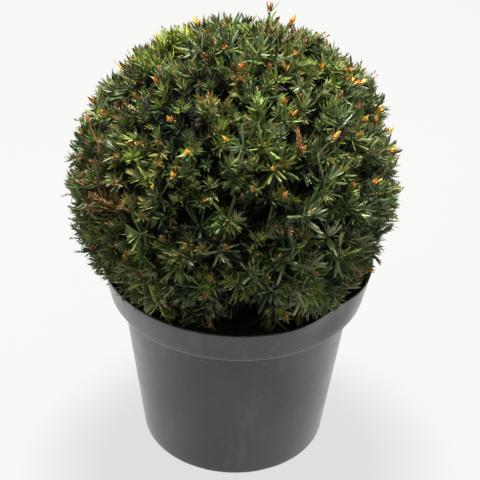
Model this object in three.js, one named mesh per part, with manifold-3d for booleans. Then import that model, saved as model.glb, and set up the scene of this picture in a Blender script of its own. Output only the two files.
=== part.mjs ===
// A yew clipped to a ball, growing in a round plastic nursery pot. Millimetres, +Z up, front towards -Y.
// The origin is the centre of the pot's flat underside. A short trunk stands on the growing medium and
// runs up into the ball. A bough leads from it to each mass of foliage, and the masses share the ball:
// each keeps to its own cell, and its twigs fan out from one stem, through a core, to the clipped surface.
import * as THREE from "three";
import { mergeVertices } from "three/addons/utils/BufferGeometryUtils.js";
import Module from "manifold-3d";

const wasm = await Module();
wasm.setup();

// Clearance between neighbouring solids
const GAP = 0.3;

// Pot: a tapering body, a shoulder, and a flaring band that ends in the rim
const RIM_RADIUS = 130;
const POT_HEIGHT = 203;
const BAND_FOOT_Z = 168.6;
const BAND_FOOT_RADIUS = 122.6;
const BODY_TOP_RADIUS = 111.5;
const BODY_FOOT_RADIUS = 89.7;
const WALL = 2.2;
const FLOOR = 3;
const LIP_CHAMFER = 0.9;
const FOOT_ROUNDING = 3.5;
const POT_SIDES = 48;
const DRAINS = { count: 8, radius: 5, sides: 10, ringRadius: 70 };
const NOTCH = { width: 16, depth: 7, height: 1.8 };

// The rim is pressed in a little at the front right
const DENT = { angle: -43, spread: 14, depth: 6 };

// Growing medium: it ends a finger's width under the rim and has shrunk a little from the band
const MEDIUM_LEVEL = 187;
const MEDIUM_SHRINKAGE = 1.2;
const MEDIUM_SIDES = POT_SIDES / 2;
const MEDIUM_RINGS = [0.93, 0.76, 0.58, 0.4];
const HUMMOCKS = { height: 1.2, width: 10, crumbs: 5, sink: 0.4 };
const TRUNK_SEAT_RADIUS = 21;

// Crown: an ellipsoid about the crown centre, sliced off by the growing medium
const CROWN_CENTRE = new THREE.Vector3(-5, 0, 290);
const CROWN_RADIUS = 153;
const CROWN_HALF_HEIGHT = 147;
const INNER_SPACE = 62;
const HEART_DEPTH = 16;
const CORE = { share: 0.87, detail: 4, lumpHeight: 0.022, lumps: 9, margin: 0.8, innerMargin: 4 };
const SKIRT_CLEARANCE = 4;
const LOBE_SCATTER = { azimuth: 8, elevation: 7 };
const LOBE_REACH = [0.965, 1];
const LOBE_RINGS = [
  { name: "upper", count: 5, elevation: 37, azimuth: -54, limbZ: -20, limbRise: 5.5 },
  { name: "lower", count: 7, elevation: -10, azimuth: -90, limbZ: -72, limbRise: 6.5 },
];

// Trunk and boughs, heights from the crown centre
const TRUNK = { footRadius: 17, radius: 10.5, tipRadius: 4.2, flareHeight: 14, sides: 12, steps: 7 };
const TRUNK_FOOT = { x: 4, y: -2 };
const TRUNK_BEND = { width: 3, waves: 1.1 };
const BOUGH = { footRadius: 3.6, tipRadius: 2.4, sides: 6, sag: 4, straight: 12 };

// Twigs and needles
const SHOOT_COUNT = 213;
const LOWEST_SHOOT = -0.67;
const SHOOT_LEAN = 0.3;
const SHOOT_GATHER = 0.09;
const SHOOT_JITTER = 0.25;
const SHOOT_DEPTH = [14, 19];
const TWIG = { footRadius: 2.6, tipRadius: 1.1, sides: 3 };
const ROSETTE = { needles: 8, rootRadius: 3.8, front: 3.4, valley: 1 };
const NEEDLES = [
  { length: 25, spread: 63 },
  { length: 19, spread: 33 },
];
const LEADER = { azimuth: 25, elevation: 76, rise: 16, sunk: 3 };
const SEEDS = { lobes: 41, shoots: 39 };

const COLOURS = {
  pot: 0x2f2f30,
  medium: 0x15110e,
  bark: 0x5a3f2c,
  foliage: [0x2b4220, 0x314a24, 0x263c20, 0x38512a],
};

const UP = new THREE.Vector3(0, 0, 1);
const FRONT = new THREE.Vector3(0, -1, 0);
const CENTRE = new THREE.Vector3();
const TURN = 2 * Math.PI;
const GOLDEN_ANGLE = Math.PI * (3 - Math.sqrt(5));
const { degToRad, lerp, radToDeg, smoothstep } = THREE.MathUtils;

// Seeded random numbers from 0 to 1
function randomFrom(seed) {
  let state = seed >>> 0;
  return () => {
    state = (state + 0x6d2b79f5) >>> 0;
    let t = state;
    t = Math.imul(t ^ (t >>> 15), t | 1);
    t ^= t + Math.imul(t ^ (t >>> 7), t | 61);
    return ((t ^ (t >>> 14)) >>> 0) / 4294967296;
  };
}

function direction(azimuthDeg, elevationDeg) {
  const a = degToRad(azimuthDeg);
  const e = degToRad(elevationDeg);
  return new THREE.Vector3(Math.cos(a) * Math.cos(e), Math.sin(a) * Math.cos(e), Math.sin(e));
}

// Solids: three.js geometry in, boolean in the middle, three.js geometry out
function solidOf(geometry) {
  const bare = new THREE.BufferGeometry();
  bare.setAttribute("position", geometry.getAttribute("position").clone());
  bare.setIndex(geometry.getIndex());
  const merged = mergeVertices(bare, 1e-4);
  return new wasm.Manifold(
    new wasm.Mesh({
      numProp: 3,
      vertProperties: new Float32Array(merged.attributes.position.array),
      triVerts: new Uint32Array(merged.index.array),
    }),
  );
}

function geometryOf(solid) {
  const { vertProperties, triVerts } = solid.getMesh();
  const geometry = new THREE.BufferGeometry();
  geometry.setAttribute("position", new THREE.BufferAttribute(vertProperties, 3));
  geometry.setIndex(new THREE.BufferAttribute(triVerts, 1));
  return geometry;
}

function joined(solids) {
  return solids.reduce((whole, piece) => whole.add(piece));
}

function material(color, roughness) {
  return new THREE.MeshStandardMaterial({ color, roughness, metalness: 0, flatShading: true });
}

function node(name, geometry, look) {
  const mesh = new THREE.Mesh(geometry, look);
  mesh.name = name;
  return mesh;
}

// A profile of [radius, z] pairs turned about the Z axis
function turned(profile, sides) {
  const points = profile.map(([r, z]) => new THREE.Vector2(r, z));
  return new THREE.LatheGeometry(points, sides).rotateX(Math.PI / 2);
}

// How far the rim is pressed in at a point, from nothing at the band's foot to DENT.depth at the rim
function dentAt(x, y, z) {
  const height = smoothstep(z, BAND_FOOT_Z, POT_HEIGHT);
  const away = radToDeg(Math.atan2(y, x)) - DENT.angle;
  return DENT.depth * height * Math.exp(-((away / DENT.spread) ** 2));
}

function dented(geometry) {
  const place = geometry.getAttribute("position");
  for (let i = 0; i < place.count; i++) {
    const [x, y, z] = [place.getX(i), place.getY(i), place.getZ(i)];
    const radius = Math.hypot(x, y);
    const share = radius > 0 ? 1 - dentAt(x, y, z) / radius : 1;
    place.setXY(i, x * share, y * share);
  }
  return geometry;
}

// The pot's outer radius on the body and on the band
function bodyRadius(z) {
  return lerp(BODY_FOOT_RADIUS, BODY_TOP_RADIUS, z / BAND_FOOT_Z);
}

function bandRadius(z) {
  const up = (z - BAND_FOOT_Z) / (POT_HEIGHT - BAND_FOOT_Z);
  return lerp(BAND_FOOT_RADIUS, RIM_RADIUS, up);
}

function potShell() {
  const innerShoulder = BAND_FOOT_Z + WALL;
  const shell = turned(
    [
      [0, 0],
      [BODY_FOOT_RADIUS - FOOT_ROUNDING, 0],
      [bodyRadius(FOOT_ROUNDING) - 0.3 * FOOT_ROUNDING, 0.3 * FOOT_ROUNDING],
      [bodyRadius(FOOT_ROUNDING), FOOT_ROUNDING],
      [BODY_TOP_RADIUS, BAND_FOOT_Z],
      [BAND_FOOT_RADIUS - 1, BAND_FOOT_Z],
      [bandRadius(BAND_FOOT_Z + 1), BAND_FOOT_Z + 1],
      [RIM_RADIUS, POT_HEIGHT - LIP_CHAMFER],
      [RIM_RADIUS - LIP_CHAMFER, POT_HEIGHT],
      [RIM_RADIUS - WALL, POT_HEIGHT],
      [bandRadius(innerShoulder) - WALL, innerShoulder],
      [BODY_TOP_RADIUS - WALL, innerShoulder],
      [bodyRadius(FLOOR) - WALL, FLOOR],
      [0, FLOOR],
    ],
    POT_SIDES,
  );
  return solidOf(dented(shell));
}

// Water leaves through holes in the floor and out under the foot through shallow notches
function drains() {
  const cuts = [];
  for (let i = 0; i < DRAINS.count; i++) {
    const turn = ((i + 0.5) * TURN) / DRAINS.count;
    const hole = new THREE.CylinderGeometry(DRAINS.radius, DRAINS.radius, 4 * FLOOR, DRAINS.sides);
    hole.rotateX(Math.PI / 2).translate(DRAINS.ringRadius, 0, 0).rotateZ(turn);
    const notch = new THREE.BoxGeometry(2 * NOTCH.depth, NOTCH.width, 2 * NOTCH.height);
    notch.translate(BODY_FOOT_RADIUS, 0, 0).rotateZ(turn);
    cuts.push(solidOf(hole), solidOf(notch));
  }
  return joined(cuts);
}

function pot() {
  return node("pot", geometryOf(potShell().subtract(drains())), material(COLOURS.pot, 0.45));
}

// Gentle hummocks on the growing medium, flat where the trunk stands
function hummocksAt(x, y) {
  const rise = smoothstep(Math.hypot(x, y), TRUNK_SEAT_RADIUS, 2 * TRUNK_SEAT_RADIUS);
  const large = Math.sin(x / HUMMOCKS.width + 1) * Math.cos(y / HUMMOCKS.width);
  const small = 0.6 * Math.sin((x + y) / HUMMOCKS.crumbs);
  return rise * HUMMOCKS.height * (large + small - HUMMOCKS.sink);
}

function growingMedium() {
  const wallSide = (radius) => radius - WALL - GAP;
  const shoulder = BAND_FOOT_Z + WALL + GAP;
  const edge = wallSide(bandRadius(MEDIUM_LEVEL)) - MEDIUM_SHRINKAGE;
  const topRadii = [...MEDIUM_RINGS.map((share) => share * edge), TRUNK_SEAT_RADIUS, 0];
  const heap = turned(
    [
      [0, FLOOR + GAP],
      [wallSide(bodyRadius(FLOOR)), FLOOR + GAP],
      [wallSide(BODY_TOP_RADIUS), shoulder],
      [wallSide(bandRadius(shoulder)) - MEDIUM_SHRINKAGE, shoulder],
      [edge, MEDIUM_LEVEL - 2],
      ...topRadii.map((radius) => [radius, MEDIUM_LEVEL]),
    ],
    MEDIUM_SIDES,
  );
  const place = dented(heap).getAttribute("position");
  for (let i = 0; i < place.count; i++) {
    if (place.getZ(i) > MEDIUM_LEVEL - 1) {
      place.setZ(i, MEDIUM_LEVEL + hummocksAt(place.getX(i), place.getY(i)));
    }
  }
  return node("growing_medium", heap, material(COLOURS.medium, 0.95));
}

// A closed limb: a ring of vertices about each point of its path, fanned shut at both ends
function limb(path, radii, sides) {
  const vertices = [];
  const faces = [];
  const aside = new THREE.Vector3();
  const ahead = new THREE.Vector3();
  path.forEach((point, i) => {
    const last = Math.min(i + 1, path.length - 1);
    ahead.subVectors(path[last], path[Math.max(i - 1, 0)]).normalize();
    const reference = Math.abs(ahead.z) < 0.9 ? UP : new THREE.Vector3(1, 0, 0);
    aside.crossVectors(reference, ahead).normalize();
    const across = new THREE.Vector3().crossVectors(ahead, aside);
    for (let k = 0; k < sides; k++) {
      const turn = (k * TURN) / sides;
      const out = aside.clone().multiplyScalar(Math.cos(turn)).addScaledVector(across, Math.sin(turn));
      vertices.push(out.multiplyScalar(radii[i]).add(point));
    }
  });
  for (let i = 0; i + 1 < path.length; i++) {
    for (let k = 0; k < sides; k++) {
      const [a, b] = [i * sides + k, i * sides + ((k + 1) % sides)];
      faces.push(a, b, b + sides, a, b + sides, a + sides);
    }
  }
  const top = (path.length - 1) * sides;
  for (let k = 1; k + 1 < sides; k++) {
    faces.push(0, k + 1, k, top, top + k, top + k + 1);
  }
  return fromLists(vertices, faces);
}

function fromLists(vertices, faces) {
  const geometry = new THREE.BufferGeometry().setFromPoints(vertices);
  geometry.setIndex(faces);
  return geometry;
}

// Lobes: one direction from the crown centre for each mass of foliage. A lobe's cell lies between the
// planes halfway to its neighbours, outside the inner space where the limbs are.
function makeLobes() {
  const random = randomFrom(SEEDS.lobes);
  const lobes = [{ name: "foliage_top", ahead: UP.clone(), ring: null, step: 0 }];
  for (const ring of LOBE_RINGS) {
    for (let i = 0; i < ring.count; i++) {
      const azimuth = ring.azimuth + (i * 360) / ring.count + LOBE_SCATTER.azimuth * (random() - 0.5);
      const elevation = ring.elevation + LOBE_SCATTER.elevation * (random() - 0.5);
      const ahead = direction(azimuth, elevation);
      lobes.push({ name: `foliage_${ring.name}_${i + 1}`, ahead, ring, step: i });
    }
  }
  for (const lobe of lobes) {
    lobe.reach = lerp(...LOBE_REACH, random());
    lobe.seat = lobe.ahead.clone().multiplyScalar(INNER_SPACE);
    lobe.heart = lobe.ahead.clone().multiplyScalar(INNER_SPACE + HEART_DEPTH);
    lobe.walls = [{ normal: lobe.ahead.clone().negate(), offset: -INNER_SPACE }];
    for (const other of lobes) {
      if (other !== lobe) {
        const normal = other.ahead.clone().sub(lobe.ahead).normalize();
        lobe.walls.push({ normal, offset: -GAP / 2 });
      }
    }
    const skirt = CROWN_CENTRE.z - MEDIUM_LEVEL - SKIRT_CLEARANCE;
    lobe.walls.push({ normal: UP.clone().negate(), offset: skirt });
    lobe.shoots = [];
  }
  return lobes;
}

const RADII = new THREE.Vector3(CROWN_RADIUS, CROWN_RADIUS, CROWN_HALF_HEIGHT);

// Distance from a point to the crown's ellipsoid, scaled by share, along a unit direction
function toEllipsoid(from, ahead, share) {
  const p = from.clone().divide(RADII);
  const d = ahead.clone().divide(RADII);
  const [a, b, c] = [d.lengthSq(), p.dot(d), p.lengthSq() - share * share];
  return (-b + Math.sqrt(b * b - a * c)) / a;
}

// Everything behind a plane, as a block larger than the crown
function behind(normal, offset) {
  const size = 4 * CROWN_RADIUS;
  const block = new THREE.BoxGeometry(size, size, size).translate(0, 0, -size / 2);
  block.applyQuaternion(new THREE.Quaternion().setFromUnitVectors(UP, normal));
  const { x, y, z } = normal.clone().multiplyScalar(offset);
  return solidOf(block.translate(x, y, z));
}

// A lobe's core: a lumpy ball a little smaller than the clipped surface, cut down to the lobe's cell
function core(lobe) {
  const ball = new THREE.IcosahedronGeometry(1, CORE.detail);
  const place = ball.getAttribute("position");
  const out = new THREE.Vector3();
  for (let i = 0; i < place.count; i++) {
    out.fromBufferAttribute(place, i).normalize();
    const [x, y, z] = out.clone().multiplyScalar(CORE.lumps).toArray();
    const lump = 1 + CORE.lumpHeight * (Math.sin(x + 1) * Math.sin(y) + Math.sin(z + 0.7 * x));
    const radius = lump * toEllipsoid(CENTRE, out, CORE.share * lobe.reach);
    place.setXYZ(i, ...out.multiplyScalar(radius).toArray());
  }
  const margins = lobe.walls.map((_, i) => (i === 0 ? CORE.innerMargin : CORE.margin));
  return lobe.walls.reduce(
    (rest, { normal, offset }, i) => rest.intersect(behind(normal, offset - margins[i])),
    solidOf(ball),
  );
}

// True if a point, counted from the crown centre, is in the lobe's cell and clear of pot and medium
function inCell(lobe, point) {
  const inWalls = lobe.walls.every(({ normal, offset }) => normal.dot(point) < offset - GAP);
  const world = point.clone().add(CROWN_CENTRE);
  const radius = Math.hypot(world.x, world.y) + dentAt(world.x, world.y, world.z);
  const overPot = world.z > POT_HEIGHT + 2 || radius < BAND_FOOT_RADIUS - 4;
  return inWalls && overPot;
}

// Shoots are spread evenly over the ball. Each belongs to the lobe that it is nearest to.
function spreadShoots(lobes) {
  const random = randomFrom(SEEDS.shoots);
  for (let i = 0; i < SHOOT_COUNT; i++) {
    const z = lerp(1, LOWEST_SHOOT, (i + 0.5) / SHOOT_COUNT);
    const turn = i * GOLDEN_ANGLE + SHOOT_JITTER * (random() - 0.5);
    const flat = Math.sqrt(1 - z * z);
    const out = new THREE.Vector3(flat * Math.cos(turn), flat * Math.sin(turn), z);
    const nearness = (lobe) => lobe.ahead.dot(out);
    const lobe = lobes.reduce((best, other) => (nearness(other) > nearness(best) ? other : best));
    out.addScaledVector(lobe.ahead, SHOOT_GATHER).normalize();
    const depth = lerp(...SHOOT_DEPTH, random());
    const tip = out.clone().multiplyScalar(toEllipsoid(CENTRE, out, lobe.reach) - depth);
    lobe.shoots.push({ tip, out, roll: TURN * random() });
  }
}

// The tips of a shoot's needles, every second one spread wide and the others pointing ahead
function needleTips(at, ahead, roll) {
  const side = new THREE.Vector3().crossVectors(ahead, Math.abs(ahead.z) < 0.9 ? UP : FRONT).normalize();
  const tips = [];
  for (let k = 0; k < ROSETTE.needles; k++) {
    const turn = roll + (k * TURN) / ROSETTE.needles;
    const { length, spread } = NEEDLES[k % NEEDLES.length];
    const aside = side.clone().applyAxisAngle(ahead, turn);
    const point = at.clone().addScaledVector(ahead, length * Math.cos(degToRad(spread)));
    tips.push({ aside, point: point.addScaledVector(aside, length * Math.sin(degToRad(spread))) });
  }
  return tips;
}

// The rim of a rosette: each needle's tip, and the hollow between it and the next needle
function rosetteRim(at, ahead, tips) {
  return tips.flatMap(({ aside, point }, k) => {
    const next = tips[(k + 1) % tips.length].aside;
    const between = aside.clone().add(next).normalize();
    if (new THREE.Vector3().crossVectors(aside, next).dot(ahead) < 0) {
      between.negate();
    }
    const hollow = at.clone().addScaledVector(between, ROSETTE.rootRadius);
    return [point, hollow.addScaledVector(ahead, ROSETTE.valley)];
  });
}

// A shoot in one closed mesh: a three-sided twig that opens at its tip into a thin star of needles
function shootSolid(root, tip, ahead, tips) {
  const ringAt = (centre, radius) =>
    [0, 1, 2].map((k) => {
      const out = tips[0].aside.clone().applyAxisAngle(ahead, (k * TURN) / TWIG.sides);
      return out.multiplyScalar(radius).add(centre);
    });
  const rim = rosetteRim(tip, ahead, tips);
  const front = tip.clone().addScaledVector(ahead, ROSETTE.front);
  const vertices = [...ringAt(root, TWIG.footRadius), ...ringAt(tip, TWIG.tipRadius), ...rim, front];
  const [neck, star, apex] = [3, 6, vertices.length - 1];
  const faces = [0, 2, 1];
  for (let k = 0; k < 3; k++) {
    const next = (k + 1) % 3;
    faces.push(k, next, neck + next, k, neck + next, neck + k);
  }
  const turnOf = (point) => {
    const out = point.clone().sub(tip);
    const side = new THREE.Vector3().crossVectors(ahead, tips[0].aside);
    return (Math.atan2(side.dot(out), tips[0].aside.dot(out)) / TURN + 1) % 1;
  };
  let corner = 0;
  rim.forEach((point, k) => {
    const [here, there] = [star + k, star + ((k + 1) % rim.length)];
    const towards = k + 1 < rim.length ? Math.round(turnOf(rim[k + 1]) * 3) : 3;
    faces.push(here, there, apex, there, here, neck + (corner % 3));
    for (; corner < towards; corner++) {
      faces.push(there, neck + (corner % 3), neck + ((corner + 1) % 3));
    }
  });
  return solidOf(fromLists(vertices, faces));
}

// One shoot: a twig from the lobe's heart to its tip, and there the needles that fit
function shoot(lobe, { tip, out, roll }) {
  const growth = tip.clone().sub(lobe.heart).normalize();
  const lift = SHOOT_LEAN * (1 - Math.abs(out.z));
  const ahead = growth.lerp(out, 0.5).addScaledVector(UP, lift).normalize();
  const tips = needleTips(tip, ahead, roll).filter(({ point }) => inCell(lobe, point));
  return inCell(lobe, tip) && tips.length > 2 ? [shootSolid(lobe.heart, tip, ahead, tips)] : [];
}

// The one bare shoot that stands up out of the clipped top, with its last few needles
function leader(lobe) {
  const out = direction(LEADER.azimuth, LEADER.elevation);
  const surface = out.clone().multiplyScalar(toEllipsoid(CENTRE, out, lobe.reach));
  const tip = surface.clone().addScaledVector(UP, LEADER.rise);
  const twig = limb([lobe.heart, surface], [TWIG.footRadius, TWIG.tipRadius], TWIG.sides);
  const root = surface.clone().addScaledVector(UP, -LEADER.sunk);
  const tips = needleTips(tip, UP, 0).filter((_, k) => k % 3 > 0);
  return [solidOf(twig), shootSolid(root, tip, UP, tips)];
}

// A mass of foliage: its stem, its core and all its shoots, fused into one solid
function foliage(lobe) {
  const stem = limb([lobe.seat, lobe.heart], [BOUGH.tipRadius, BOUGH.tipRadius], BOUGH.sides);
  const solids = [core(lobe), solidOf(stem)];
  for (const place of lobe.shoots) {
    solids.push(...shoot(lobe, place));
  }
  if (!lobe.ring) {
    solids.push(...leader(lobe));
  }
  return joined(solids);
}

// The trunk leans and bends a little on its way from the growing medium to the top mass
function trunkPath() {
  const foot = new THREE.Vector3(TRUNK_FOOT.x, TRUNK_FOOT.y, MEDIUM_LEVEL + GAP - CROWN_CENTRE.z);
  const tip = new THREE.Vector3(0, 0, INNER_SPACE - GAP);
  const path = [foot, foot.clone().setZ(foot.z + TRUNK.flareHeight / 3)];
  for (let i = 0; i <= TRUNK.steps; i++) {
    const up = i / TRUNK.steps;
    const point = new THREE.Vector3().lerpVectors(foot, tip, up);
    point.z = lerp(foot.z + TRUNK.flareHeight, tip.z, up);
    point.x += TRUNK_BEND.width * Math.sin(TURN * TRUNK_BEND.waves * up) * (1 - up);
    path.push(point);
  }
  return path;
}

function trunkSolid(swell) {
  const radii = [TRUNK.footRadius, 0.5 * (TRUNK.footRadius + TRUNK.radius)];
  for (let i = 0; i <= TRUNK.steps; i++) {
    radii.push(lerp(TRUNK.radius, TRUNK.tipRadius, i / TRUNK.steps));
  }
  const swollen = radii.map((radius) => radius + swell);
  return solidOf(limb(trunkPath(), swollen, TRUNK.sides));
}

function trunkAt(z) {
  const path = trunkPath();
  const next = Math.max(path.findIndex((point) => point.z >= z), 1);
  const [low, high] = [path[next - 1], path[next]];
  return new THREE.Vector3().lerpVectors(low, high, (z - low.z) / (high.z - low.z));
}

// A bough: one tapering limb that leaves the trunk and ends at the seat of its mass
function bough(lobe, clearOfTrunk) {
  const { ring, step } = lobe;
  const stagger = (step * 3) % ring.count;
  const root = trunkAt(ring.limbZ + ring.limbRise * stagger);
  const tip = lobe.seat.clone().addScaledVector(lobe.ahead, -GAP);
  const run = tip.clone().addScaledVector(lobe.ahead, -BOUGH.straight);
  const path = [0, 0.5, 1].map((along) => {
    const point = new THREE.Vector3().lerpVectors(root, run, along);
    return point.addScaledVector(UP, -BOUGH.sag * Math.sin(Math.PI * along));
  });
  path.push(tip);
  const radii = path.map((_, i) => lerp(BOUGH.footRadius, BOUGH.tipRadius, i / 3));
  return solidOf(limb(path, radii, BOUGH.sides)).subtract(clearOfTrunk);
}

const yew = new THREE.Group();
yew.add(pot(), growingMedium());

const crown = new THREE.Group();
crown.position.copy(CROWN_CENTRE);
yew.add(crown);

const bark = material(COLOURS.bark, 0.85);
crown.add(node("trunk", geometryOf(trunkSolid(0)), bark));

const lobes = makeLobes();
spreadShoots(lobes);
const clearOfTrunk = trunkSolid(GAP);
lobes.forEach((lobe, i) => {
  const green = material(COLOURS.foliage[i % COLOURS.foliage.length], 0.6);
  crown.add(node(lobe.name, geometryOf(foliage(lobe)), green));
  if (lobe.ring) {
    const name = `bough_${lobe.ring.name}_${lobe.step + 1}`;
    crown.add(node(name, geometryOf(bough(lobe, clearOfTrunk)), bark));
  }
});

export default yew;
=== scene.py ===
"""The looks of a yew clipped to a ball, in its nursery pot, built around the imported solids.

Lengths are millimetres in the frame of the solids: +Z up, front towards -Y, origin at the centre of
the pot's underside. Places in the crown count from the crown's centre, as in the solids. They become
Blender's metres only where a mesh, a material, a light or the camera takes them.
"""

import math

import bmesh
import bpy
import numpy as np
from mathutils import Matrix, Vector, noise


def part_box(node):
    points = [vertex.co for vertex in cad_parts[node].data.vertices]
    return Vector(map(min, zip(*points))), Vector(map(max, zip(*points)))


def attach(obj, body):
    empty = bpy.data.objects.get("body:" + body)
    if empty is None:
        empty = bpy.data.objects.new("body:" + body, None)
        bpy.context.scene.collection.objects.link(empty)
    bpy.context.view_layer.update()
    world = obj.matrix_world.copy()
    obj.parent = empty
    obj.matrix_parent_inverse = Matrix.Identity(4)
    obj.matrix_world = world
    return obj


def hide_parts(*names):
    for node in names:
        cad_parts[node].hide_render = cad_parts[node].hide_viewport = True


MM = 0.001
TURN = 2 * math.pi
GOLDEN_ANGLE = math.pi * (3 - math.sqrt(5))
UP = np.array([0.0, 0.0, 1.0])
FRONT = np.array([0.0, -1.0, 0.0])
BODY = "root"


def direction(azimuth, elevation):
    """Unit vector at an azimuth and an elevation in degrees."""
    a = math.radians(azimuth)
    e = math.radians(elevation)
    return np.array([math.cos(a) * math.cos(e), math.sin(a) * math.cos(e), math.sin(e)])


def patch(azimuth, elevation, width, **more):
    """A round patch of the crown, from its middle and its width in degrees."""
    return {"middle": direction(azimuth, elevation), "edge": math.cos(math.radians(width)), **more}


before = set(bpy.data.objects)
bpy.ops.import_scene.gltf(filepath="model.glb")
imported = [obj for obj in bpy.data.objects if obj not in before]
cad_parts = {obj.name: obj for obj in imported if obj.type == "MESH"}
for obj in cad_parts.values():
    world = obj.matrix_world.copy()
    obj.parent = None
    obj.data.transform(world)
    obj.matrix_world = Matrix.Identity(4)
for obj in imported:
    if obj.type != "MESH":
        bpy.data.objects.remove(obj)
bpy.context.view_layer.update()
RIM_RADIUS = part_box("pot")[1].x / MM
POT_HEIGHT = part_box("pot")[1].z / MM

# Pot: a tapering body, a shoulder, and a flaring band that ends in the rim
BAND_FOOT_Z = 168.6
BAND_FOOT_RADIUS = 122.6
BODY_TOP_RADIUS = 111.5
BODY_FOOT_RADIUS = 89.7
WALL = 2.2
FLOOR = 3
POT_SIDES = 192
POT_STEP = 7
SMOOTH_UP_TO_DEGREES = 40
POT_ROUNDINGS = {"foot": 3.5, "shoulder": 1.3, "band_foot": 2.6, "lip": 1.0, "inside": 2.0}
# A painted highlight: a lighter line painted just above the band's foot, where that edge catches the
# light
PAINTED_EDGE_HIGHLIGHT = {"rise": 1.2, "breadth": 1.1}
DRAINS = {"count": 8, "radius": 5, "ring_radius": 70}
NOTCH = {"width": 16, "depth": 7, "height": 1.8}

# The rim is pressed in a little at the front right
DENT = {"angle": -43, "spread": 14, "depth": 6}

# Growing medium
MEDIUM_LEVEL = 187
MEDIUM_SIDES = 128
MEDIUM_RINGS = 44
HUMMOCKS = {"height": 1.2, "width": 10, "small_width": 5, "small_share": 0.6, "sink": 0.4}
LUMPS = {"height": 1.6, "width": 6, "sink": 0.3}
CRUMBS = {"count": 3200, "size": (0.7, 2.6), "unevenness": (0.6, 1.3), "breadth": 0.6, "height": 0.6}
CRUMB_SHADES = {"crumb_dark": (0.005, 0.004, 0.0035), "crumb_brown": (0.018, 0.011, 0.007),
                "crumb_bark": (0.045, 0.026, 0.014)}
CRUMB_SHARES = [0.55, 0.36, 0.09]
TRUNK_SEAT_RADIUS = 21

# Crown: an ellipsoid about the crown centre, sliced off by the growing medium
CROWN_CENTRE = np.array([-5.0, 0.0, 290.0])
CROWN_RADII = np.array([153.0, 153.0, 147.0])
INNER_SPACE = 62
HEART_DEPTH = 16
LOBE_SCATTER = {"azimuth": 8, "elevation": 7}
LOBE_REACH = (0.965, 1)
LOBE_RINGS = [
    {"name": "upper", "count": 5, "elevation": 37, "azimuth": -54, "limb_z": -20, "limb_rise": 5.5},
    {"name": "lower", "count": 7, "elevation": -10, "azimuth": -90, "limb_z": -72, "limb_rise": 6.5},
]

# Trunk and boughs, heights from the crown centre
TRUNK = {"foot_radius": 17, "radius": 10.5, "tip_radius": 4.2, "flare_height": 14, "steps": 7}
TRUNK_FOOT = {"x": 4, "y": -2}
TRUNK_BEND = {"width": 3, "waves": 1.1}
TRUNK_MESH = {"sides": 36, "rings": 70, "relief": 0.7, "flutes": 5}
BOUGH = {"foot_radius": 3.6, "tip_radius": 2.4, "sag": 4, "straight": 12}
BOUGH_MESH = {"sides": 12, "rings": 26, "relief": 0.25, "flutes": 3}
BARK_RIDGE_LENGTH = 14
GAP = 0.3

# Shoots: the main ones stand where the solids have theirs, and the finer ones fork off them. The
# # surface shoots end just under the clipped surface, and the inner and heart ones fill the dark behind,
# # their needles mostly in the shade spray, which is painted shade.
LOWEST_SHOOT = -0.67
SHOOTS = {
    "main": {"count": 213, "gather": 0.09, "jitter": 0.25, "depth": (14, 19), "lean": 0.3, "seed": 39},
    "surface": {"count": 1500, "gather": 0.02, "jitter": 1.1, "depth": (0, 11), "lean": 0.5, "seed": 101},
    "inner": {"count": 820, "gather": 0.05, "jitter": 2.0, "depth": (20, 58), "lean": 0.3, "seed": 202},
    "heart": {"count": 170, "gather": 0.05, "jitter": 2.0, "depth": (58, 84), "lean": 0.3, "seed": 303},
}
MAIN_BEND = 0.55
FORK_SHARE = (0.45, 0.75)
FORK_STRAIGHTNESS = 0.42
SHOOT_TILT = 0.5
LEAST_OUTWARD = 0.4
CLUMPS = {"depth": 9, "waves": 4.2}
LEADER = {"azimuth": 32, "elevation": 77, "rise": 23, "lean": (-4, 2, 0)}
LEADER_NEEDLES = {"count": 6, "lowest": 0.62, "length": (13, 18), "spread": (28, 62), "bend": 0.08}
# Bare twigs that show in the photo, from foot to tip on the clipped surface: azimuth and elevation
BARE_TWIGS = [
    {"kind": "stub", "foot": (-62, 39), "tip": (-60, 44.5)},
    {"kind": "bare", "foot": (-151, 27), "tip": (-168, 28)},
]
SEEDS = {"lobes": 41, "needles": 7, "sprays": 11, "crumbs": 5}

# Outlines of blades: the breadth at some shares of the length. Both ends are points.
LENS = ((0.45, 1.0),)
BLUNT = ((0.16, 0.85), (0.84, 0.88))

# Ways in which a shoot bears its needles: how far back along the twig they go, and their length and
# spread from the first at the tip to the last. Width is a share of the length.
STYLES = {
    "brush": {"needles": 50, "run": 34, "length": (7.5, 12.5), "spread": (20, 60), "width": 0.185,
              "bend": (-0.05, 0.3), "outline": LENS},
    "star": {"needles": 24, "run": 22, "length": (11, 20), "spread": (22, 72), "width": 0.135,
             "bend": (-0.1, 0.4), "outline": BLUNT},
    "tight": {"needles": 42, "run": 22, "length": (5, 8.5), "spread": (14, 56), "width": 0.22,
              "bend": (-0.1, 0.3), "outline": LENS},
    "inner": {"needles": 40, "run": 44, "length": (12, 18), "spread": (40, 80), "width": 0.24,
              "bend": (-0.2, 0.2), "outline": LENS},
    "heart": {"needles": 40, "run": 60, "length": (18, 28), "spread": (40, 85), "width": 0.3,
              "bend": (-0.2, 0.2), "outline": LENS},
}
NEEDLE_RIDGE = 0.17
NEEDLE_LIFT = 0.12
NEEDLE_OVERSHOOT = 8
POT_CLEARANCE = {"above": 1.5, "aside": 3}
# How far single needles stray from their shoot's rule: turn and twist in radians, spread in degrees
STRAY = {"turn": 0.35, "spread": 11, "twist": 0.45, "sway": 0.09, "length": (0.8, 1.15),
         "width": (0.85, 1.2)}
# The needles are full-grown from this share of their run on
GROWN_FROM = 0.4
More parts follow.
